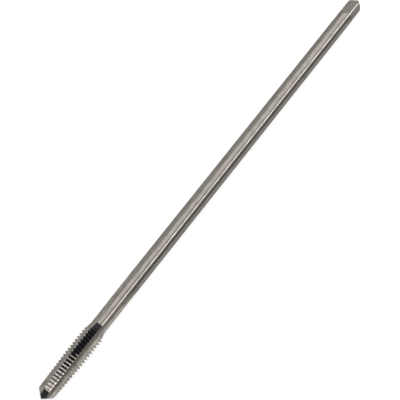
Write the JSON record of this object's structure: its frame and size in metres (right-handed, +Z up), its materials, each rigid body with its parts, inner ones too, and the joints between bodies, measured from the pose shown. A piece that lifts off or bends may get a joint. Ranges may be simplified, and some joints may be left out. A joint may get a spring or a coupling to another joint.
{
  "type": "thread tap",
  "caption": "Long-shank straight-flute hand tap: tapered lead, right-hand metric thread on fluted lands, slender round shank and a square drive end.",
  "frame": {"origin": "middle of the tap's length, straight below its axis, on the surface that it lies on", "axes": "+X along the axis, from the cutting end towards the square drive end; +Z up, through the middle of the top land"},
  "size_m": [0.15, 0.006, 0.0053],
  "materials": {
    "tool_steel": "ground high-speed steel, bright on the shank, flutes and lead, with black oxide left in the thread and on the point at the cutting end"
  },
  "bodies": {
    "root": {"thread_tap": "tool_steel"}
  },
  "joints": []
}
